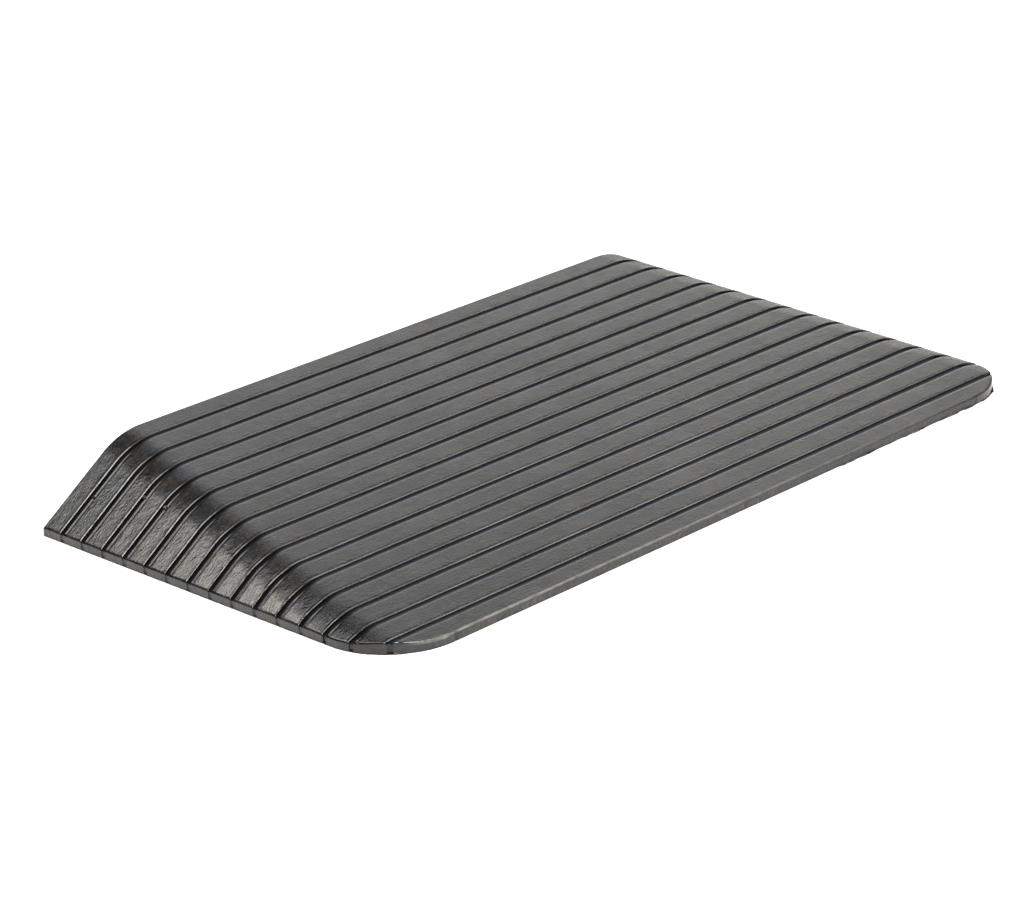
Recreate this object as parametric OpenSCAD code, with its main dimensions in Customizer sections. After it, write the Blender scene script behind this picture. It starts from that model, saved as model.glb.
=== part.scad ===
// Threshold ramp: a heavy moulded rubber wedge that carries wheels over a door step.
// The tread climbs from a thin front lip to a square back face, which stands against the step.
// Both sides fall away in flares, and grip grooves run right across tread, crowns, flares and lips.
// Lengths are in millimetres. +Z is up, the approach is at -Y, the origin is mid-footprint on the ground.

/* [Overall] */
// Width across the approach, from side lip to side lip
ramp_width = 880; // [600:10:1200]
// Depth from the front lip to the back face
ramp_depth = 470; // [300:10:700]
// Height of the back edge above the ground
ramp_rise = 75; // [45:1:110]

/* [Edges] */
// Upright height of the front lip and the side lips
lip_height = 9; // [7:0.5:20]
// Plan radius of the two front corners
corner_radius = 75; // [30:1:120]

/* [Flares] */
// Run of each side flare at the back, from the side lip to the crown line
flare_width = 98; // [60:1:160]
// Radius of the rounded crown between the tread and each flare
crown_radius = 82; // [20:1:110]

/* [Grip grooves] */
// Spacing of the grooves down the tread
groove_pitch = 30; // [15:0.5:60]
// Width of each groove
groove_width = 6; // [3:0.25:10]
// Depth of each groove, square to the face that it crosses
groove_depth = 2.75; // [1:0.25:4]
// Distance from the back face to the middle of the first groove
groove_start = 27; // [15:0.5:60]
// Least distance from the front lip to the middle of the last groove
groove_stop = 16; // [10:0.5:40]
// Depth of the shallow notch that each groove leaves down the face of the side lip
notch_depth = 0.75; // [0.25:0.25:3]
// Height of the thin foot along the ground that the grooves stop above
foot_height = 1.25; // [0.5:0.25:3]

/* [Layers] */
// Thickness of the moulded cover over the crumb core
cover_thickness = 6; // [5:0.25:9]

/* [Hidden] */
$fn = 128;
// Run of a cut past the face that it opens
overrun = 4;
// Rise of a rounding's arc over the faces that it joins, which gives the seam a clean edge
seam = 0.01;
// Farthest that any corner can lie from another
reach = norm([ramp_width, ramp_depth, ramp_rise]);

function unit(v) = v / norm(v);

// Climb per run of the tread and of the flares
tread_gradient = (ramp_rise - lip_height) / ramp_depth;
flare_gradient = (ramp_rise - lip_height) / flare_width;
// Outward directions square to the tread and to the right flare
tread_normal = unit([0, -tread_gradient, 1]);
flare_normal = unit([flare_gradient, 0, 1]);
// The right crown line climbs back and inward from the front corner
crown_line = unit(cross(tread_normal, flare_normal));
crown_tilt = acos(crown_line[2]);
crown_turn = atan2(crown_line[1], crown_line[0]);
// The two axes of a section cut square to the crown line
section_down = [cos(crown_tilt) * cos(crown_turn), cos(crown_tilt) * sin(crown_turn), -sin(crown_tilt)];
section_across = [-sin(crown_turn), cos(crown_turn), 0];
function in_section(v) = [v * section_down, v * section_across];
tread_side = in_section(tread_normal);
flare_side = in_section(flare_normal);
// Middle of the crown's arc in that section, measured from the crown line
crown_centre = -crown_radius * (tread_side + flare_side) / (1 + tread_side * flare_side);
// Direction along the face with normal a that leads away from the face with normal b
function away(a, b) = unit((a * b) * a - b);

groove_count = floor((ramp_depth - groove_start - groove_stop) / groove_pitch) + 1;

// Room left for an outline whose corner between faces a and b is rounded about a centre
module corner_room(centre, radius, a, b) {
    run = reach * unit(b - a);
    inward = -reach * unit(a + b);
    chord = centre + radius * (a + b) / 2;
    translate(centre) circle(radius + seam);
    polygon([chord - run, chord + run, chord + run + inward, chord - run + inward]);
}

// Section square to the right crown line: tread, rounded crown and flare, set in by an even amount
module crown_section(inset) {
    ridge = -inset * (tread_side + flare_side) / (1 + tread_side * flare_side);
    tread_far = ridge + reach * away(tread_side, flare_side);
    flare_far = ridge + reach * away(flare_side, tread_side);
    intersection() {
        polygon([ridge, tread_far, tread_far - reach * tread_side, flare_far - reach * flare_side, flare_far]);
        corner_room(crown_centre, crown_radius - inset, tread_side, flare_side);
    }
}

// Plan outline of the right half from a given line, square at the back and round at the front corner
module footprint(inset, middle) {
    half = ramp_width / 2;
    intersection() {
        translate([middle, inset - ramp_depth / 2]) square([half - inset - middle, ramp_depth - 2 * inset]);
        corner_room([half - corner_radius, corner_radius - ramp_depth / 2], corner_radius - inset,
            [1, 0], [0, -1]);
    }
}

// Right half of the ramp's form, with the faces above set in by one amount and the upright faces by another.
// A form that cuts runs past the base and past the middle by the given amount.
module half_form(inset, upright_inset, past) {
    intersection() {
        translate([0, 0, -past]) linear_extrude(ramp_rise + overrun + past) footprint(upright_inset, -past);
        translate([ramp_width / 2, -ramp_depth / 2, lip_height]) rotate([0, crown_tilt, crown_turn])
            linear_extrude(2 * reach, center = true) crown_section(inset);
    }
}

// Grooves of even depth that follow the form over the crown and down the flare, then notch the lip to its foot
module grip_grooves() {
    difference() {
        for (k = [0 : groove_count - 1])
            translate([-overrun, (ramp_depth - groove_width) / 2 - groove_start - k * groove_pitch, foot_height])
                cube([ramp_width / 2 + 2 * overrun, groove_width, ramp_rise + overrun]);
        half_form(groove_depth, notch_depth, 2 * overrun);
    }
}

// A half and its mirror image, met at the middle of the ramp
module both_halves() {
    children();
    mirror([1, 0, 0]) children();
}

// Smooth moulded cover: tread, crowns, flares, lips and back face, open at the base
module tread_cover() {
    color("#303234") both_halves() difference() {
        half_form(0, 0, 0);
        half_form(cover_thickness, cover_thickness, overrun);
        grip_grooves();
    }
}

// Pressed rubber crumb that fills the cover and lies on the ground with it
module crumb_core() {
    color("#5a4c42") both_halves() half_form(cover_thickness, cover_thickness, 0);
}

tread_cover();
crumb_core();
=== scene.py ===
import math
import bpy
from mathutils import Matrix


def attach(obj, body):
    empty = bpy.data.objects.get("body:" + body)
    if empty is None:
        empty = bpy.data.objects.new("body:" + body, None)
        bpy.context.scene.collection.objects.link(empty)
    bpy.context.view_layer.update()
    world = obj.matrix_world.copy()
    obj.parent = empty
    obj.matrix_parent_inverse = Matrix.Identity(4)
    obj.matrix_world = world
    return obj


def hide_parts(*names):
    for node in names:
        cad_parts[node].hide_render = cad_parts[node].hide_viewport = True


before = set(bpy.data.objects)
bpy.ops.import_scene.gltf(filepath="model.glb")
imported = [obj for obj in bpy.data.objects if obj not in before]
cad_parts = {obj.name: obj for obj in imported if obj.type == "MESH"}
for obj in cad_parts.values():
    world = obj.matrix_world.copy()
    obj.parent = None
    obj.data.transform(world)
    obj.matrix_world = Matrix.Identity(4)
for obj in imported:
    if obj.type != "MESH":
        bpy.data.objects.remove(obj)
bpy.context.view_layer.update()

from types import SimpleNamespace

import bpy
from mathutils import Matrix, Vector

QUARTER = math.pi / 2

# Sizes of the ramp in metres, as the solids have them.
RAMP = {
    "Width": 0.880, "Depth": 0.470, "Rise": 0.075, "Lip height": 0.009, "Corner radius": 0.075,
    "Flare width": 0.098, "Crown radius": 0.082, "Groove pitch": 0.030, "Groove depth": 0.00275,
    "Groove start": 0.027, "Grooves": 15, "Notch depth": 0.00075, "Foot height": 0.00125,
    "Cover thickness": 0.006,
}
# The cover as moulding and wear leave it. Its groove width is the mean of tread and flare, and the spread is
# the difference. A groove is wider where it is worn, and its notch in the lip is pinched.
COVER = {
    **RAMP, "Groove width": 0.00545, "Groove spread": 0.0011, "Worn width": 0.0008, "Notch pinch": 0.0019,
    "Arris radius": 0.0016, "Waviness": 0.0004,
}

# Lips of a groove in metres: behind and ahead of it on the tread, then behind and ahead of it on a flare.
# The rim is rounded, and its crest lies a drop below the plain face, or stands above it as a bead.
# Over the near run the face goes down to a shallow valley, and over the far run it comes back.
LIPS = {
    "rim": (0.0004, 0.0003, 0.0013, 0.0004),
    "drop": (0.0, 0.00018, -0.00011, 0.0),
    "near": (0.0015, 0.0016, 0.0024, 0.0017),
    "far": (0.0030, 0.0012, 0.0004, 0.0026),
    "valley": (0.00028, 0.00003, 0.0, 0.00034),
}
# What full wear adds to the lip behind a groove of the tread.
WORN_LIPS = {"rim": 0.0003, "drop": 0.00028, "near": -0.0012}
# A groove's wall leans by the draft and meets the floor in a small round toe, both in metres.
# The shares place a point within the toe and one on the flat floor.
DRAFT = 0.00012
TOE = 0.0005
TOE_SHARE = 0.3
FLOOR_SHARE = 0.55
# Steps in the arc of the rim.
RIM_STEPS = 3
# Points on a soft slope, as shares of its run and of its fall.
SLOPE_SHARES = [(0.3, 0.2), (0.7, 0.8)]

# Drift of the grooves towards the front, in metres: on the tread, and what wear and a flare add to it.
# On a flare it changes with each groove, from one groove on, counted from the back, and for so many grooves.
TREAD_DRIFT = -0.0001
WORN_DRIFT = -0.0006
FLARE_DRIFT = 0.0006
DRIFT_CHANGE = -0.00044
DRIFT_FROM = 5
DRIFT_FOR = 2.5
# Wear starts left of the middle and grows to the right, in shares of half the tread.
WEAR_START_SHARE = -0.2
WEAR_RUN_SHARE = 0.8
# Grooves at the front corners, where the notches are twice as deep.
CORNER_GROOVES = 3

# Grid lines in each run of the cover's outside, with rows from the back and columns from the middle.
EDGE_LINES = 4
LIP_LINES = 6
BAND_ROWS = 3
GROOVE_ROWS = 30
FRONT_ROWS = 9
TREAD_COLUMNS = 36
CROWN_COLUMNS = 16
FLARE_COLUMNS = 12
BACK_ROWS = LIP_LINES + EDGE_LINES
FACE_COLUMNS = TREAD_COLUMNS + CROWN_COLUMNS + FLARE_COLUMNS
# A small part of a cell, which keeps its first row from falling into the cell before.
CELL_NUDGE = 0.0005

# Waves of a moulded face and their height as a share of the waviness. The sideways ones grow from nothing at
# an edge, by so much for each metre.
WAVE = {"Scale": 9.0, "Detail": 2.0, "Roughness": 0.45}
WAVE_SHARE = 1.3
WOBBLE = {"Scale": 21.0, "Detail": 1.0}
SWAY_GROWTH = 60.0
FLARE_GROWTH = 40.0
# The ledge on top of the foot falls outward by a share of the foot's height.
LEDGE_FALL_SHARE = 0.12

# Marks for the material, at stations counted from a groove's middle: where the rim begins, begins to fade
# and ends, and the first and last that carry the painted highlight on the back rim.
RIM_STATIONS = (5, 12, 14)
GLINT_STATIONS = (7, 9)
# The painted rim highlight grows from one groove on, counted from the back, over a run of grooves.
GLINT_FROM = -2
GLINT_FOR = 13
# Width of the band along the front arris in metres, and how closely it keeps to the side that faces forward.
FRONT_BAND = 0.003
FRONT_FOCUS = 8

# Distances within which points become one: on a sheet's folded corners, and along a seam.
FOLD_WELD = 0.000016
SEAM_WELD = 0.00001
# Edges that turn less than this are shaded smooth.
SMOOTH_TURN = math.radians(50)

# The fringe that the trimmer left along the front foot and round the right corner, in metres.
FLASH = {
    **{name: RAMP[name] for name in ("Width", "Depth", "Corner radius")},
    "Start": 0.150, "Reach": 0.0026, "Thickness": 0.0004, "Points": 680,
}
# How soon the fringe grows from its pointed ends, the scales of its long tongues and of the small tears in
# them for each metre, a shift that keeps the two apart, and the least share of its reach that a tear leaves.
FLASH_TAPER = 60
TONGUE_SCALE = 38.0
TEAR_SCALE = 420.0
TEAR_SHIFT = 5.0
TORN_SHARE = 0.3

# Lumps beside three flare grooves, where nicks in the mould filled with rubber: place on the flare, radius.
# Their surface is uneven, with a height in metres and a scale for each metre.
NIBS = [(-0.4017, 0.2036, 0.0013), (-0.3872, 0.1465, 0.0020), (-0.3897, 0.1142, 0.0018)]
NIB_BULGE = 0.0012
NIB_SCALE = 420.0
FLARE = {name: RAMP[name] for name in ("Width", "Rise", "Lip height", "Flare width")}

# Patterns in the moulded rubber: scale for each metre, detail, roughness, pace along X, Y and Z, and turn in
# degrees. A pace below 1 draws the pattern out along that axis.
EVEN = (1.0, 1.0, 1.0)
PATTERNS = {
    "blotch": (20.0, 4.0, 0.55, EVEN, 0.0),
    "cloud": (55.0, 5.0, 0.6, EVEN, 0.0),
    "grain": (900.0, 3.0, 0.5, EVEN, 0.0),
    "drag": (260.0, 3.0, 0.6, (0.07, 1.0, 1.0), 0.0),
    "scuff": (190.0, 3.0, 0.6, (0.10, 1.0, 1.0), -38.0),
    "tint": (60.0, 6.0, 0.7, EVEN, 0.0),
    "patch": (120.0, 4.0, 0.65, EVEN, 0.0),
    "speck": (620.0, 1.0, 0.5, EVEN, 0.0),
    "chip": (90.0, 3.0, 0.6, EVEN, 0.0),
    "mottle": (330.0, 3.0, 0.6, (1.0, 1.0, 0.4), 0.0),
    "scrape": (24.0, 3.0, 0.6, (0.5, 1.0, 1.0), 0.0),
    "coarse": (480.0, 1.5, 0.5, (0.6, 1.0, 0.6), 0.0),
    "crease": (140.0, 2.0, 0.5, (0.4, 1.0, 0.4), 25.0),
    "swell": (70.0, 2.0, 0.5, EVEN, 0.0),
}
# Heights of the grain in metres, on the tread and on a flare. The coarse part is calmer beside the grooves.
GRAIN = {
    "coarse": (0.00052, 0.00030),
    "crease": (0.0, 0.0002),
    "grain": (0.0002, 0.0001),
    "drag": (0.0001, 0.0001),
    "swell": (0.0005, 0.0005),
}
RIM_CALM = 0.8
# How strongly each layer shows on the moulded rubber, from 0 to 1, painted highlights and painted shade
# among them.
SHOWS = SimpleNamespace(blotch=0.17, grain=0.12, drag=0.11, patch=0.22, speck=0.5, arris_highlight=0.7, stain=0.6,
                        scuff=0.30, groove_floor=0.8)
# Roughness of the plain rubber, and what each pattern or mark adds to it.
ROUGH = SimpleNamespace(plain=0.25, grain=0.10, flare=-0.12, rim=-0.10, cloud=0.08, scuff=0.05, groove_floor=0.15,
                        lip=0.06)
# How much of the dull, shaded copy of the rubber is mixed in, as painted shade on groove floors and in lip
# notches and as a painted darker band on the crowns.
DULL_SHADED = SimpleNamespace(floor=0.93, notch=0.3, crown=0.32)
# Colours as linear red, green and blue, and opacity.
RUBBER_BLACK = (0.0030, 0.0030, 0.0031, 1)
RUBBER_FADED = (0.0050, 0.0050, 0.0052, 1)
DUST_COOL = (0.026, 0.042, 0.068, 1)
DUST_WARM = (0.084, 0.060, 0.038, 1)
SPECK = (0.22, 0.19, 0.15, 1)
# Painted highlight along the front arris.
ARRIS_HIGHLIGHT = (0.26, 0.255, 0.24, 1)
STAIN_COOL = (0.018, 0.030, 0.052, 1)
STAIN_WARM = (0.085, 0.058, 0.036, 1)
# Painted highlight on the back rims of the front grooves.
RIM_GLINT = (0.44, 0.46, 0.48, 1)
# Groove floors as painted shade: a dark grey on the tread and, on the flares, a black darker than the
# rubber.
TREAD_GROOVE_SHADE = (0.026, 0.029, 0.036, 1)
FLARE_GROOVE_SHADE = (0.0010, 0.0010, 0.0012, 1)
CRUMB_DARK = (0.010, 0.010, 0.010, 1)
CRUMB_LIGHT = (0.030, 0.029, 0.028, 1)
FIBRE = (0.085, 0.055, 0.035, 1)
FLOOR = (0.66, 0.66, 0.66, 1)
DARK_ROOM = (0.01, 0.01, 0.01, 1)
# Grains and fibres of the crumb: scale for each metre, and height in metres.
CRUMB_SCALE = 330.0
CRUMB_GRAIN = 0.0006
FIBRE_SCALE = 420.0
FIBRE_GRAIN = 0.0002
# Half the floor's width in metres.
FLOOR_REACH = 14.0

# Softboxes: compass turn off +Y and lift off the floor in degrees, distance, width and height in metres,
# brightness and colour. The wash lights the floor alone.
WHITE = (1.0, 1.0, 1.0)
SOFTBOXES = {
    "back_high": (38, 36, 3.0, 1.25, 1.3, 1.49, (0.95, 0.98, 1.0)),
    "back_right": (62, 24, 3.0, 1.3, 1.2, 0.90, (0.99, 1.0, 0.98)),
    "back_low": (48, 22, 3.0, 2.0, 0.9, 1.15, (1.0, 0.96, 0.89)),
    "back_strip": (62, 15, 3.4, 1.1, 1.1, 0.67, (1.0, 1.0, 0.88)),
    "skyline": (17, 3, 4.0, 3.4, 0.5, 7.0, (1.0, 0.92, 0.78)),
    "left_far": (-27, 42, 2.5, 0.6, 0.8, 2.5, (0.62, 0.84, 1.0)),
    "left_near": (-40, 41, 1.34, 0.28, 0.45, 5.5, (1.0, 0.78, 0.52)),
    "left_high": (-50, 46, 1.1, 0.4, 0.4, 2.9, (0.84, 0.88, 1.0)),
    "left_top": (-28, 66, 2.2, 0.7, 0.7, 7.0, (1.0, 0.98, 0.94)),
    "right_box": (96, 53, 2.0, 0.6, 0.6, 10.0, WHITE),
    "back_far": (48, 1.5, 4.0, 2.4, 0.35, 1.3, WHITE),
    "front_box": (-158, 57, 2.2, 1.2, 1.0, 20.0, (1.0, 0.96, 0.90)),
}
FLOOR_WASH = (180, 78, 4.0, 6.0, 6.0, 2.6, WHITE)

# The photograph's view: its width and focal length in pixels, a film width in millimetres, the camera's
# turn, lift and lean, the spot that it looks at and its distance from there in metres.
PHOTO_WIDTH = 1036
FOCAL_PIXELS = 3463.63
FILM_WIDTH = 36.0
VIEW_TURN = math.radians(-44.602)
VIEW_LIFT = math.radians(21.285)
VIEW_LEAN = math.radians(-2.702)
VIEW_AIM = Vector((-0.01402, 0.03312, 0.0))
VIEW_DISTANCE = 3.37253


class Wire:
    """A socket in a node tree, so that sums on values read as sums. Without one it stands for the tree."""

    def __init__(self, tree, socket=None):
        self.tree = tree
        self.socket = socket

    def node(self, kind, settings=None, sockets=None, out=0):
        """Adds a node: first its settings, then a value, a link or a list of links for each socket."""
        made = self.tree.nodes.new(kind)
        for name, value in (settings or {}).items():
            if name == "items":
                while len(made.index_switch_items) < value:
                    made.index_switch_items.new()
            else:
                setattr(made, name, value)
        for name, value in (sockets or {}).items():
            for one in value if isinstance(value, list) else [value]:
                if isinstance(one, Wire):
                    self.tree.links.new(one.socket, made.inputs[name])
                else:
                    made.inputs[name].default_value = one
        return Wire(self.tree, made.outputs[out] if made.outputs else None)

    def math(self, operation, *others):
        return self.node("ShaderNodeMath", {"operation": operation}, dict(enumerate((self, *others))))

    def after(self, operation, first):
        return self.node("ShaderNodeMath", {"operation": operation}, {0: first, 1: self})

    def __add__(self, other):
        return self.math("ADD", other)

    def __radd__(self, other):
        return self.after("ADD", other)

    def __sub__(self, other):
        return self.math("SUBTRACT", other)

    def __rsub__(self, other):
        return self.after("SUBTRACT", other)

    def __mul__(self, other):
        return self.math("MULTIPLY", other)

    def __rmul__(self, other):
        return self.after("MULTIPLY", other)

    def __truediv__(self, other):
        return self.math("DIVIDE", other)

    def __rtruediv__(self, other):
        return self.after("DIVIDE", other)

    def __pow__(self, other):
        return self.math("POWER", other)

    def __lt__(self, other):
        return self.math("LESS_THAN", other)

    def __gt__(self, other):
        return self.math("GREATER_THAN", other)

    def __neg__(self):
        return self.math("MULTIPLY", -1.0)

    def __abs__(self):
        return self.math("ABSOLUTE")

    def least(self, other):
        return self.math("MINIMUM", other)

    def most(self, other):
        return self.math("MAXIMUM", other)

    def root(self):
        return self.most(0.0).math("SQRT")

    def sin(self):
        return self.math("SINE")

    def floor(self):
        return self.math("FLOOR")

    def sign(self):
        return self.math("SIGN")

    def share(self, low, high):
        """From 0 to 1 as this value goes from low to high."""
        return self.node("ShaderNodeMapRange", None, {0: self, 1: low, 2: high})

    def axis(self, name):
        return self.node("ShaderNodeSeparateXYZ", None, {0: self}, name)

    def mix(self, start, end):
        """Colours from start to end as this value goes from 0 to 1."""
        return self.node("ShaderNodeMix", {"data_type": "RGBA"}, {0: self, 6: start, 7: end}, 2)

    def pick(self, values):
        """The one of the values whose place in the list is this whole number."""
        places = {place + 1: value for place, value in enumerate(values)}
        settings = {"data_type": "FLOAT", "items": len(values)}
        return self.node("GeometryNodeIndexSwitch", settings, {0: self, **places})


def size_tree(name, sizes):
    """An empty Geometry Nodes tree with a named input for each size."""
    tree = bpy.data.node_groups.new(name, "GeometryNodeTree")
    tree.interface.new_socket("Geometry", in_out="OUTPUT", socket_type="NodeSocketGeometry")
    for label, value in sizes.items():
        kind = "NodeSocketInt" if isinstance(value, int) else "NodeSocketFloat"
        tree.interface.new_socket(label, in_out="INPUT", socket_type=kind)
    source = tree.nodes.new("NodeGroupInput")
    return tree, Wire(tree), {label: Wire(tree, source.outputs[label]) for label in sizes}


def made_by(tree, desk, geometry, sizes, name, material):
    """Ends the tree, runs it with the sizes and returns the plain mesh object that it makes."""
    solid = desk.node("GeometryNodeRealizeInstances", None, {"Geometry": geometry})
    dressed = desk.node("GeometryNodeSetMaterial", None, {"Geometry": solid, "Material": material})
    tree.links.new(dressed.socket, tree.nodes.new("NodeGroupOutput").inputs[0])
    seed = bpy.data.objects.new(name + "_seed", bpy.data.meshes.new(name + "_seed"))
    bpy.context.collection.objects.link(seed)
    grower = seed.modifiers.new("grow", "NODES")
    grower.node_group = tree
    for item in tree.interface.items_tree:
        if item.in_out == "INPUT":
            grower[item.identifier] = sizes[item.name]
    bpy.context.view_layer.update()
    mesh = bpy.data.meshes.new_from_object(seed.evaluated_get(bpy.context.evaluated_depsgraph_get()))
    mesh.name = name
    seed.modifiers.remove(grower)
    bpy.data.objects.remove(seed)
    piece = bpy.data.objects.new(name, mesh)
    bpy.context.collection.objects.link(piece)
    return piece


class RampForm:
    """The ramp's form in node values. v is the distance from the front lip, inset an even offset inward."""

    def __init__(self, s):
        self.s = s
        self.half = s["Width"] / 2
        climb = s["Rise"] - s["Lip height"]
        self.slope = climb / s["Depth"]
        self.fall = climb / s["Flare width"]
        self.tread_len = (self.slope * self.slope + 1).root()
        self.flare_len = (self.fall * self.fall + 1).root()
        # the outward normals of tread and right flare, and the crown line between them
        self.tread = (0.0, -self.slope / self.tread_len, 1 / self.tread_len)
        self.flare = (self.fall / self.flare_len, 0.0, 1 / self.flare_len)
        cross = self.slope * self.fall
        length = (self.slope * self.slope + self.fall * self.fall + cross * cross).root()
        self.line = (-self.slope / length, self.fall / length, cross / length)
        cosine = 1 / (self.tread_len * self.flare_len)
        self.turn = cosine.math("ARCCOSINE")
        pull = s["Crown radius"] / (cosine + 1)
        corner = (self.half, 0.0, s["Lip height"])
        self.axis = tuple(c - pull * (t + f) for c, t, f in zip(corner, self.tread, self.flare))

    def half_width(self, v, inset):
        """Distance from the middle to the side of the plan outline."""
        radius = self.s["Corner radius"]
        core = radius - inset
        lead = (radius - v).most(0.0)
        return self.half - radius + (core * core - lead * lead).root()

    def crown_x(self, v, inset, turned):
        """Where the crown's arc has turned by a share of its way from tread to flare, at distance v."""
        radius = self.s["Crown radius"] - inset
        angle = self.turn * turned
        tread_part = (self.turn - angle).sin() / self.turn.sin()
        flare_part = angle.sin() / self.turn.sin()
        along = (v - self.axis[1] - radius * (tread_part * self.tread[1])) / self.line[1]
        return self.axis[0] + along * self.line[0] + radius * (flare_part * self.flare[0])

    def across(self, v, inset, edge, on_tread, on_crown, on_flare):
        """Distance from the middle after shares of tread, crown and flare. The flare ends at an edge."""
        tread_end, flare_start, arc = (self.crown_x(v, inset, turned).least(edge)
                                       for turned in (0.0, 1.0, on_crown))
        return tread_end * on_tread + (arc - tread_end) + (edge - flare_start) * on_flare

    def height(self, x, v, inset):
        """Height of the tread, the crown or the flare above the ground."""
        lip = self.s["Lip height"]
        radius = self.s["Crown radius"] - inset
        tread = lip + self.slope * v - inset * self.tread_len
        flare = lip + self.fall * (self.half - x) - inset * self.flare_len
        # the crown is a cylinder about its own line, met by an upright through x and v
        along = (v - self.axis[1]) / self.line[1]
        dx = x - (self.axis[0] + along * self.line[0])
        lx = self.line[0]
        lz = self.line[2]
        a = 1 - lz * lz
        b = dx * lx * lz
        c = dx * dx * (1 - lx * lx) - radius * radius
        crown = self.axis[2] + along * lz + (b + (b * b - a * c).root()) / a
        past_tread = x > self.crown_x(v, inset, 0.0)
        past_crown = x > self.crown_x(v, inset, 1.0)
        return tread + past_tread * (crown - tread) + past_crown * (flare - crown)


def grid_rows(desk, rows, columns):
    """A flat grid, with each point's row counted from the back and column counted from the middle."""
    grid = desk.node("GeometryNodeMeshGrid", None,
                     {"Size X": 1.0, "Size Y": 1.0, "Vertices X": 2 * columns + 1, "Vertices Y": rows + 1})
    spot = desk.node("GeometryNodeInputPosition")
    column = spot.axis("X") * (2 * columns)
    return grid, (0.5 - spot.axis("Y")) * rows, column.sign(), abs(column)


def step(index, start, count):
    """Progress through one run of rows or columns, from 0 to 1."""
    return index.share(start, start + count)


def groove_profile(s, station, width, ahead, on_flare, worn):
    """Offset from a groove's middle and depth below the face, at stations from the middle to the band."""
    def lip(name):
        tread_back, tread_ahead, flare_back, flare_ahead = LIPS[name]
        if name in WORN_LIPS:
            tread_back = worn * WORN_LIPS[name] + tread_back
        back = tread_back + (flare_back - tread_back) * on_flare
        front = tread_ahead + (flare_ahead - tread_ahead) * on_flare
        return back + (front - back) * ahead

    rim, drop, near, far, valley = (lip(name) for name in ("rim", "drop", "near", "far", "valley"))
    edge = width / 2
    depth = s["Groove depth"]
    crest = edge + rim
    low = crest + near
    plain = low + far
    band = s["Groove pitch"] / 2 - crest - near - far
    sine = [math.sin(QUARTER * k / RIM_STEPS) for k in range(RIM_STEPS + 1)]
    profile = [(edge * 0.0, depth), (edge * FLOOR_SHARE, depth), (edge - (DRAFT + TOE), depth)]
    profile += [(edge - (DRAFT + TOE * TOE_SHARE), depth - TOE * TOE_SHARE), (edge - DRAFT, depth - TOE)]
    profile += [(edge + rim * (1 - over), drop + rim * (1 - up)) for over, up in zip(reversed(sine), sine)]
    profile += [(crest + near * run, drop + (valley - drop) * fall) for run, fall in SLOPE_SHARES]
    profile += [(low, valley)]
    profile += [(low + far * run, valley * (1 - fall)) for run, fall in SLOPE_SHARES]
    profile += [(plain, valley * 0.0), (plain + band, valley * 0.0)]
    return [station.pick([point[way] for point in profile]) for way in (0, 1)]


def grooves_across(s, row, column, on_flare, over_lip):
    """Each point's groove, row from that groove's middle, way down past the grooves, and depth."""
    pitch = s["Groove pitch"]
    cells = (row - (BACK_ROWS + BAND_ROWS)).most(0.0).least(s["Grooves"] * GROOVE_ROWS)
    groove = (cells / GROOVE_ROWS + CELL_NUDGE).floor().least(s["Grooves"] - 1)
    spot = cells - groove * GROOVE_ROWS - GROOVE_ROWS / 2
    worn = step(column, TREAD_COLUMNS * WEAR_START_SHARE, TREAD_COLUMNS * WEAR_RUN_SHARE) * (1 - on_flare)
    width = s["Groove width"] + s["Groove spread"] * (on_flare - 0.5)
    width = width - over_lip * s["Notch pinch"] + worn * s["Worn width"]
    station = (abs(spot) + 0.5).floor()
    offset, depth = groove_profile(s, station, width, spot > 0.0, on_flare, worn)
    flare_drift = FLARE_DRIFT + (groove - DRIFT_FROM).most(0.0).least(DRIFT_FOR) * DRIFT_CHANGE
    drift = TREAD_DRIFT + worn * WORN_DRIFT + on_flare * flare_drift
    drift = drift * step(row, BACK_ROWS, BAND_ROWS)
    drift = drift * (1 - step(row, s["Grooves"] * GROOVE_ROWS + BACK_ROWS, BAND_ROWS))
    return groove, spot, groove * pitch + offset * spot.sign() + pitch / 2 + drift, depth


def soft_edge(form, x, v, from_back, tuck):
    """Drop of the face over the rounded edge above the lips, and a mark along the front one."""
    radius = form.s["Corner radius"]
    arris = form.s["Arris radius"]
    beyond = (x - (form.half - radius)).most(0.0)
    ahead = (radius - v).most(0.0)
    reach = (beyond * beyond + ahead * ahead).root()
    inside = (radius - tuck - reach).least(from_back)
    short = (arris - inside).most(0.0).least(arris)
    facing = ahead / reach.most(arris)
    front = facing ** FRONT_FOCUS * (1 - inside / FRONT_BAND).most(0.0)
    return arris - (arris * arris - short * short).root(), front


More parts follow.
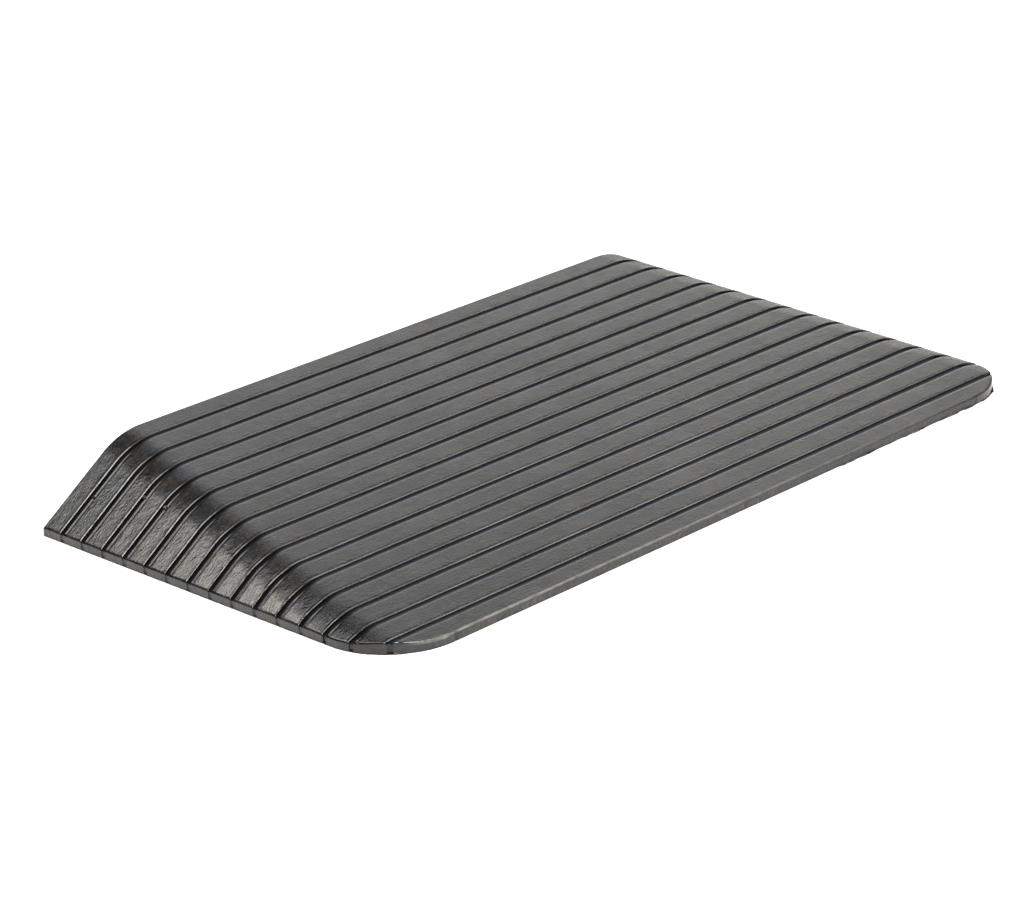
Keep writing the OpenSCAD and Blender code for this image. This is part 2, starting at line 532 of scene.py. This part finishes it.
def outer_sheet(desk, form):
    """The cover's outside, whose rows of points cross the ramp from lip to lip and dip into the grooves."""
    s = form.s
    arris = s["Arris radius"]
    groove_rows = s["Grooves"] * GROOVE_ROWS
    rows = groove_rows + (2 * BACK_ROWS + BAND_ROWS + FRONT_ROWS)
    grid, row, side, column = grid_rows(desk, rows, FACE_COLUMNS + EDGE_LINES + LIP_LINES)
    on_flare = step(column, TREAD_COLUMNS, CROWN_COLUMNS)
    over_lip = step(column, FACE_COLUMNS, EDGE_LINES)
    groove, spot, way_down, depth = grooves_across(s, row, column * side, on_flare, over_lip)

    # distance from the back, run by run: back edge, plain band, grooves, front band, front edge
    lead = s["Groove start"] - s["Groove pitch"] / 2
    first = groove_rows + (BACK_ROWS + BAND_ROWS)
    ease = 1 - step(row, first, FRONT_ROWS)
    span = s["Depth"] - lead - s["Grooves"] * s["Groove pitch"] - arris
    back_edge = arris * (1 - (QUARTER - step(row, LIP_LINES, EDGE_LINES) * QUARTER).sin())
    front_edge = arris * (step(row, first + FRONT_ROWS, EDGE_LINES) * QUARTER).sin()
    from_back = (back_edge + (lead - arris) * step(row, BACK_ROWS, BAND_ROWS) + way_down
                 + span * (1 - ease * ease) + front_edge)
    v = s["Depth"] - from_back

    # side lips, front lip and back face, each down to the foot, over the foot's ledge and to the ground
    front_lip = first + FRONT_ROWS + EDGE_LINES
    falls = [(column, FACE_COLUMNS + EDGE_LINES), (row, front_lip), (LIP_LINES - row, 0)]
    stages = ((0, LIP_LINES - 2), (LIP_LINES - 2, 1), (LIP_LINES - 1, 1))
    downs, ledges, ends = ([step(index, start + begin, count) for index, start in falls]
                           for begin, count in stages)
    down, ledge, end = (one[0].most(one[1]).most(one[2]) for one in (downs, ledges, ends))

    # distance from the middle, run by run: tread, crown, flare, lip edge
    cornering = (groove - (s["Grooves"] - (CORNER_GROOVES + 1))).most(0.0).least(1.0)
    tuck = depth * (s["Notch depth"] / s["Groove depth"]) * (cornering + 1)
    edge = form.half_width(v, tuck + arris)
    lip_edge = form.half_width(v, tuck * (1 - ledges[0]) + arris * (1 - (over_lip * QUARTER).sin()))
    x = form.across(v, depth, edge, step(column, 0, TREAD_COLUMNS), on_flare,
                    step(column, TREAD_COLUMNS + CROWN_COLUMNS, FLARE_COLUMNS)) + (lip_edge - edge)

    # height, with each groove closing inside the lip, where only its shallow notch goes on
    drop, front = soft_edge(form, x, v, from_back, tuck)
    here = desk.node("ShaderNodeCombineXYZ", None, {0: x * side, 1: v, 2: 0.0})
    wave = desk.node("ShaderNodeTexNoise", None, {"Vector": here, **WAVE})
    top = form.height(x, v, depth - (depth - tuck) * over_lip) - drop - s["Waviness"] * wave * WAVE_SHARE
    foot = s["Foot height"] * (1 - ledge * LEDGE_FALL_SHARE)
    z = (top + down * (foot - top)) * (1 - end)

    # the slight sway of the grooves, and the hollows of the flares
    wobble = desk.node("ShaderNodeTexNoise", None, {"Vector": here, **WOBBLE}, "Color")
    sway = s["Waviness"] * (wobble.axis("X") - 0.5) * (v.least(from_back) * SWAY_GROWTH).least(1.0)
    x = x - s["Waviness"] * wobble.axis("Y") * on_flare * (v * FLARE_GROWTH).least(1.0)

    # marks for the material, stored on the points
    rim_start, rim_fade, rim_end = RIM_STATIONS
    # rows behind a groove that carry the painted highlight on its back rim
    glint_start, glint_end = GLINT_STATIONS
    glint_rows = (spot < 0.5 - glint_start) * (spot > -0.5 - glint_end)
    marks = {
        "groove": depth / s["Groove depth"],
        "rim": (abs(spot) > rim_start - 0.5) * (1 - step(abs(spot), rim_fade, rim_end - rim_fade)),
        "turn": on_flare,
        "lip": (over_lip * 0.5).most(down),
        "front": front,
        "low": down,
        "scuffed": glint_rows * step(groove, GLINT_FROM, GLINT_FOR) * (1 - on_flare),
    }
    sheet = grid
    for label, value in marks.items():
        sheet = desk.node("GeometryNodeStoreNamedAttribute", {"data_type": "FLOAT", "domain": "POINT"},
                          {"Geometry": sheet, "Name": label, "Value": value})
    moved = desk.node("ShaderNodeCombineXYZ", None, {0: x * side, 1: v - s["Depth"] / 2 + sway, 2: z})
    return desk.node("GeometryNodeSetPosition", None, {"Geometry": sheet, "Position": moved})


def inner_sheet(desk, form):
    """The cover's inside, which lies on the core: the same form, set in and without grooves."""
    s = form.s
    skin = s["Cover thickness"]
    # grid lines in each run, and how much the rows crowd towards the front
    back, run, lip = 1, 60, 1
    tread, crown, flare = 10, 12, 8
    crowding = 0.75
    grid, row, side, column = grid_rows(desk, back + run + lip, tread + crown + flare + lip)
    ease = 1 - step(row, back, run)
    v = skin + (s["Depth"] - skin * 2) * (ease * ease * crowding + ease * (1 - crowding))
    x = form.across(v, skin, form.half_width(v, skin), step(column, 0, tread), step(column, tread, crown),
                    step(column, tread + crown, flare))
    upright = (1 - step(column, tread + crown + flare, lip)).least(1 - step(row, back + run, lip))
    z = form.height(x, v, skin) * upright.least(step(row, 0, back))
    moved = desk.node("ShaderNodeCombineXYZ", None, {0: x * side, 1: v - s["Depth"] / 2, 2: z})
    bent = desk.node("GeometryNodeSetPosition", None, {"Geometry": grid, "Position": moved})
    return desk.node("GeometryNodeFlipFaces", None, {"Mesh": bent})


def grow_cover(material):
    """The moulded cover as one closed mesh: outside, inside and the foot between them."""
    tree, desk, s = size_tree("tread_cover_form", COVER)
    form = RampForm(s)
    walls = [desk.node("GeometryNodeMergeByDistance", None, {"Geometry": sheet, "Distance": FOLD_WELD})
             for sheet in (outer_sheet(desk, form), inner_sheet(desk, form))]
    walls = desk.node("GeometryNodeJoinGeometry", None, {"Geometry": walls})
    open_edge = desk.node("GeometryNodeInputMeshEdgeNeighbors") < 2
    hem = desk.node("GeometryNodeMeshToCurve", None, {"Mesh": walls, "Selection": open_edge})
    foot = desk.node("GeometryNodeFillCurve", None, {"Curve": hem})
    foot = desk.node("GeometryNodeFlipFaces", None, {"Mesh": foot})
    whole = desk.node("GeometryNodeJoinGeometry", None, {"Geometry": [walls, foot]})
    whole = desk.node("GeometryNodeMergeByDistance", None, {"Geometry": whole, "Distance": SEAM_WELD})
    gentle = desk.node("GeometryNodeInputMeshEdgeAngle") < SMOOTH_TURN
    whole = desk.node("GeometryNodeSetShadeSmooth", {"domain": "EDGE"},
                      {"Geometry": whole, "Shade Smooth": gentle})
    return made_by(tree, desk, whole, COVER, "moulded_cover", material)


def grow_flash(material):
    """A ragged closed sliver that starts and ends in a point, with a five-sided section."""
    tree, desk, s = size_tree("trimmed_flash_form", FLASH)
    sides = 5
    grid = desk.node("GeometryNodeMeshGrid", None,
                     {"Size X": 1.0, "Size Y": 1.0, "Vertices X": s["Points"], "Vertices Y": sides + 1})
    spot = desk.node("GeometryNodeInputPosition")
    share = spot.axis("X") + 0.5
    side = ((spot.axis("Y") + 0.5) * sides + 0.5).floor()
    straight = s["Width"] / 2 - s["Corner radius"] - s["Start"]
    along = share * (straight + s["Corner radius"] * QUARTER)

    def ragged(scale, shift):
        return desk.node("ShaderNodeTexNoise", {"noise_dimensions": "1D"},
                         {"W": along + shift, "Scale": scale, "Detail": 2.0})

    tongue = ragged(TONGUE_SCALE, 0.0).share(0.42, 0.60)
    tear = ragged(TEAR_SCALE, TEAR_SHIFT).share(0.3, 0.7) * (1 - TORN_SHARE) + TORN_SHARE
    reach = s["Reach"] * tongue * tear
    thick = s["Thickness"]
    top = thick + reach * 0.8
    section = [(-thick, top), (reach * 0.35, top * 0.55), (reach * 1.0, thick * 0.4),
               (reach * 0.9, thick * 0.0), (-thick, thick * 0.0), (-thick, top)]
    taper = (share * (1 - share) * FLASH_TAPER).least(1.0)
    out, up = (side.pick([point[way] for point in section]) * taper for way in (0, 1))
    turn = (along - straight).most(0.0) / s["Corner radius"]
    arm = s["Corner radius"] + out
    x = s["Start"] + along.least(straight) + arm * turn.sin()
    y = s["Corner radius"] - s["Depth"] / 2 - arm * (QUARTER - turn).sin()
    moved = desk.node("ShaderNodeCombineXYZ", None, {0: x, 1: y, 2: up})
    fringe = desk.node("GeometryNodeSetPosition", None, {"Geometry": grid, "Position": moved})
    fringe = desk.node("GeometryNodeMergeByDistance", None, {"Geometry": fringe, "Distance": SEAM_WELD})
    fringe = desk.node("GeometryNodeFlipFaces", None, {"Mesh": fringe})
    return made_by(tree, desk, fringe, FLASH, "trimmed_flash", material)


def grow_nibs(material):
    """Small uneven lumps that stand half out of the flare."""
    tree, desk, s = size_tree("mould_nibs_form", FLARE)
    index = desk.node("GeometryNodeInputIndex")
    x, y, size = (index.pick(values) for values in zip(*NIBS))
    z = s["Lip height"] + (s["Rise"] - s["Lip height"]) / s["Flare width"] * (s["Width"] / 2 - abs(x))
    place = desk.node("ShaderNodeCombineXYZ", None, {0: x, 1: y, 2: z})
    points = desk.node("GeometryNodePoints", None, {"Count": len(NIBS), "Position": place})
    ball = desk.node("GeometryNodeMeshIcoSphere", None, {"Radius": 1.0, "Subdivisions": 4})
    lumps = desk.node("GeometryNodeInstanceOnPoints", None,
                      {"Points": points, "Instance": ball, "Scale": size})
    lumps = desk.node("GeometryNodeRealizeInstances", None, {"Geometry": lumps})
    here = desk.node("GeometryNodeInputPosition")
    uneven = desk.node("ShaderNodeTexNoise", None, {"Vector": here, "Scale": NIB_SCALE, "Detail": 1.0})
    bulge = (uneven.share(0.3, 0.7) - 0.5) * NIB_BULGE
    shift = desk.node("ShaderNodeVectorMath", {"operation": "SCALE"},
                      {0: desk.node("GeometryNodeInputNormal"), "Scale": bulge})
    lumps = desk.node("GeometryNodeSetPosition", None, {"Geometry": lumps, "Offset": shift})
    lumps = desk.node("GeometryNodeSetShadeSmooth", None, {"Geometry": lumps})
    return made_by(tree, desk, lumps, FLARE, "mould_nibs", material)


class Finish:
    """A material in the making: patterns by place on the piece, marks stored on its mesh, and shaders."""

    def __init__(self, name):
        self.material = bpy.data.materials.new(name)
        self.material.use_nodes = True
        self.material.node_tree.nodes.clear()
        self.desk = Wire(self.material.node_tree)
        self.place = self.desk.node("ShaderNodeTexCoord", None, None, "Object")

    def noise(self, scale, detail, rough, pace, turn):
        turned = {"Vector": self.place, "Scale": pace, "Rotation": (0.0, 0.0, math.radians(turn))}
        where = self.desk.node("ShaderNodeMapping", None, turned)
        return self.desk.node("ShaderNodeTexNoise", None,
                              {"Vector": where, "Scale": scale, "Detail": detail, "Roughness": rough})

    def mark(self, name):
        return self.desk.node("ShaderNodeAttribute", {"attribute_name": name}, None, "Fac")

    def bump(self, height, strength):
        return self.desk.node("ShaderNodeBump", None,
                              {"Strength": strength, "Distance": 1.0, "Height": height})

    def shader(self, sockets):
        return self.desk.node("ShaderNodeBsdfPrincipled", None, sockets)

    def ended(self, shader):
        self.desk.node("ShaderNodeOutputMaterial", None, {"Surface": shader})
        return self.material


def dusty_colour(pattern, mark):
    """Black rubber under a film of dust in warm and cool tints, with pale specks."""
    bare = 1 - mark.groove
    black = pattern.cloud.share(0.35, 0.75).mix(RUBBER_BLACK, RUBBER_FADED)
    dust = (pattern.blotch.share(0.44, 0.64) * SHOWS.blotch + pattern.grain.share(0.45, 0.75) * SHOWS.grain
            + pattern.drag.share(0.5, 0.75) * SHOWS.drag)
    patch = pattern.patch.share(0.40, 0.62) * mark.flare * SHOWS.patch
    film = pattern.tint.share(0.36, 0.64).mix(DUST_COOL, DUST_WARM)
    dusted = ((dust + patch) * bare).mix(black, film)
    speck = pattern.speck.share(0.735, 0.76) * bare
    return (speck * SHOWS.speck).mix(dusted, SPECK)


def lip_colour(pattern, mark, across, colour):
    """A colour with the front lip's marks: a painted highlight along the front arris, broken in places and
    brighter to the left, and stains.
    """
    chip = pattern.chip.share(0.36, 0.56)
    # painted highlight along the front arris, brighter to the left and broken in places
    arris_highlight = mark.front.share(0.15, 0.55) * (1 - mark.front.share(0.93, 1.0))
    arris_highlight = arris_highlight * (1 - mark.low.share(0.0, 0.25))
    arris_highlight = arris_highlight * (across.share(0.36, -0.36) * 0.8 + 0.2) * (chip * 0.45 + 0.55)
    stain = pattern.tint.share(0.40, 0.60).mix(STAIN_COOL, STAIN_WARM)
    stained = pattern.mottle.share(0.46, 0.64) * mark.front * mark.low.share(0.0, 0.3)
    return (stained * SHOWS.stain).mix((arris_highlight * SHOWS.arris_highlight).mix(colour, ARRIS_HIGHLIGHT), stain)


def rubber_height(pattern, flare, rim):
    """Height of the grain in metres: coarse and fine grain, creases on the flares, drag lines and swells."""
    tall = {name: tread + (down - tread) * flare for name, (tread, down) in GRAIN.items()}
    coarse = (pattern.coarse - 0.5) * tall["coarse"] + (pattern.crease - 0.5) * tall["crease"]
    fine = pattern.grain * tall["grain"] + pattern.drag * tall["drag"] + pattern.swell * tall["swell"]
    return coarse * (1 - rim * RIM_CALM) + fine


def moulded_rubber():
    """Black satin rubber: grainy flares, dusty tread, painted highlights on groove rims and the front arris,
    and a dull copy as painted shade in grooves, notches and along the crowns.
    """
    finish = Finish("moulded_rubber")
    pattern = SimpleNamespace(**{name: finish.noise(*numbers) for name, numbers in PATTERNS.items()})
    names = ("groove", "rim", "turn", "lip", "front", "low", "scuffed")
    mark = SimpleNamespace(**{name: finish.mark(name) for name in names})
    mark.flare = mark.turn.share(0.0, 0.6)
    sunk = mark.groove * (1 - mark.lip.share(0.0, 0.5))
    across = finish.place.axis("X")

    colour = lip_colour(pattern, mark, across, dusty_colour(pattern, mark))
    # painted highlight on the back rims of the front grooves, broken in places
    scuffed = mark.scuffed * pattern.scrape.share(0.40, 0.62) * across.share(0.34, 0.10)
    colour = (scuffed * SHOWS.scuff).mix(colour, RIM_GLINT)
    # painted shade in the grooves, in the groove-floor colours
    groove_floor = mark.turn.share(0.0, 0.3).mix(TREAD_GROOVE_SHADE, FLARE_GROOVE_SHADE)
    colour = (sunk * SHOWS.groove_floor).mix(colour, groove_floor)
    rough = (ROUGH.plain + pattern.grain.share(0.35, 0.65) * ROUGH.grain + mark.flare * ROUGH.flare
             + mark.rim * ROUGH.rim + pattern.cloud.share(0.3, 0.75) * ROUGH.cloud
             + pattern.scuff.share(0.5, 0.8) * ROUGH.scuff + sunk * ROUGH.groove_floor + mark.lip * ROUGH.lip)
    bump = finish.bump(rubber_height(pattern, mark.flare, mark.rim), 1.0)
    skin = finish.shader({"Base Color": colour, "Roughness": rough, "Normal": bump, "IOR": 1.52})
    # a dull copy of the rubber in the groove-floor colours, mixed in as painted shade on groove floors and
    # in lip notches and as a painted darker band on the crowns
    dull_shaded = finish.shader({"Base Color": groove_floor, "Roughness": 0.8, "Normal": bump, "Specular IOR Level": 0.10})
    crown = mark.turn.share(0.15, 0.6) * (1 - mark.turn.share(0.85, 1.0))
    dull_shaded_mix = (sunk.share(0.35, 0.75) * DULL_SHADED.floor).most(mark.groove * mark.lip * DULL_SHADED.notch)
    dull_shaded_mix = dull_shaded_mix.most(crown * DULL_SHADED.crown)
    return finish.ended(finish.desk.node("ShaderNodeMixShader", None, {0: dull_shaded_mix, 1: skin, 2: dull_shaded}))


def crumb_rubber():
    """Pressed reclaimed crumb: coarse grains, dark pits between them and brown fibre."""
    finish = Finish("pressed_crumb")
    grains = {"Vector": finish.place, "Scale": CRUMB_SCALE}
    pit = finish.desk.node("ShaderNodeTexVoronoi", {"feature": "F1"}, grains)
    tint = finish.desk.node("ShaderNodeTexVoronoi", {"feature": "F1"}, grains, "Color").axis("X")
    fibre = finish.noise(FIBRE_SCALE, 4.0, 0.5, EVEN, 0.0).share(0.62, 0.72)
    colour = (fibre * 0.6).mix(tint.mix(CRUMB_DARK, CRUMB_LIGHT), FIBRE)
    rough = 0.62 + tint * 0.2
    bump = finish.bump((1 - pit) * CRUMB_GRAIN + fibre * FIBRE_GRAIN, 0.9)
    return finish.ended(finish.shader({"Base Color": colour, "Roughness": rough, "Normal": bump}))


def pale_floor():
    """The floor that the ramp lies on."""
    finish = Finish("pale_floor")
    mesh = bpy.data.meshes.new("floor")
    corners = [(x * FLOOR_REACH, y * FLOOR_REACH, 0) for x, y in ((-1, -1), (1, -1), (1, 1), (-1, 1))]
    mesh.from_pydata(corners, [], [(0, 1, 2, 3)])
    mesh.materials.append(finish.ended(finish.shader({"Base Color": FLOOR, "Roughness": 0.7})))
    floor = bpy.data.objects.new("floor", mesh)
    bpy.context.collection.objects.link(floor)
    return floor


def softbox(name, turn, lift, away, width, height, glow, colour):
    """An area light that faces the ramp."""
    light = bpy.data.lights.new(name, "AREA")
    light.shape = "RECTANGLE"
    light.size = width
    light.size_y = height
    light.energy = glow * math.pi * width * height
    light.color = colour
    turn = math.radians(turn)
    lift = math.radians(lift)
    spot = away * Vector((math.sin(turn) * math.cos(lift), math.cos(turn) * math.cos(lift), math.sin(lift)))
    lamp = bpy.data.objects.new(name, light)
    lamp.matrix_world = Matrix.Translation(spot) @ (-spot).to_track_quat("-Z", "Y").to_matrix().to_4x4()
    bpy.context.collection.objects.link(lamp)
    return lamp


def studio_light(floor):
    """A dark room with softboxes, and a wash that lights the floor alone."""
    world = bpy.data.worlds.new("studio")
    bpy.context.scene.world = world
    world.use_nodes = True
    world.node_tree.nodes.clear()
    desk = Wire(world.node_tree)
    glow = desk.node("ShaderNodeBackground", None, {"Color": DARK_ROOM, "Strength": 1.0})
    desk.node("ShaderNodeOutputWorld", None, {"Surface": glow})
    for name, numbers in SOFTBOXES.items():
        softbox(name, *numbers)
    wash = softbox("floor_wash", *FLOOR_WASH)
    wash.visible_glossy = False
    lit = bpy.data.collections.new("washed")
    lit.objects.link(floor)
    wash.light_linking.receiver_collection = lit
    bpy.context.scene.view_settings.view_transform = "Standard"


def place_camera():
    """The photograph's own view: its lens, angle and slight lean."""
    level = math.cos(VIEW_LIFT)
    back = Vector((math.sin(VIEW_TURN) * level, -math.cos(VIEW_TURN) * level, math.sin(VIEW_LIFT)))
    right = (-back).cross(Vector((0, 0, 1))).normalized()
    up = right.cross(-back)
    across = right * math.cos(VIEW_LEAN) + up * math.sin(VIEW_LEAN)
    above = up * math.cos(VIEW_LEAN) - right * math.sin(VIEW_LEAN)
    lens = bpy.data.cameras.new("view")
    lens.sensor_width = FILM_WIDTH
    lens.lens = FOCAL_PIXELS * FILM_WIDTH / PHOTO_WIDTH
    camera = bpy.data.objects.new("view", lens)
    spot = Matrix.Translation(VIEW_AIM + back * VIEW_DISTANCE)
    camera.matrix_world = spot @ Matrix((across, above, back)).transposed().to_4x4()
    bpy.context.collection.objects.link(camera)
    bpy.context.scene.camera = camera


place_camera()
rubber = moulded_rubber()
cover = grow_cover(rubber)
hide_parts("tread_cover")
for piece in (cover, grow_flash(rubber), grow_nibs(rubber)):
    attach(piece, "root")
crumb = crumb_rubber()
for core_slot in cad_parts["crumb_core"].material_slots:
    core_slot.material = crumb
studio_light(pale_floor())
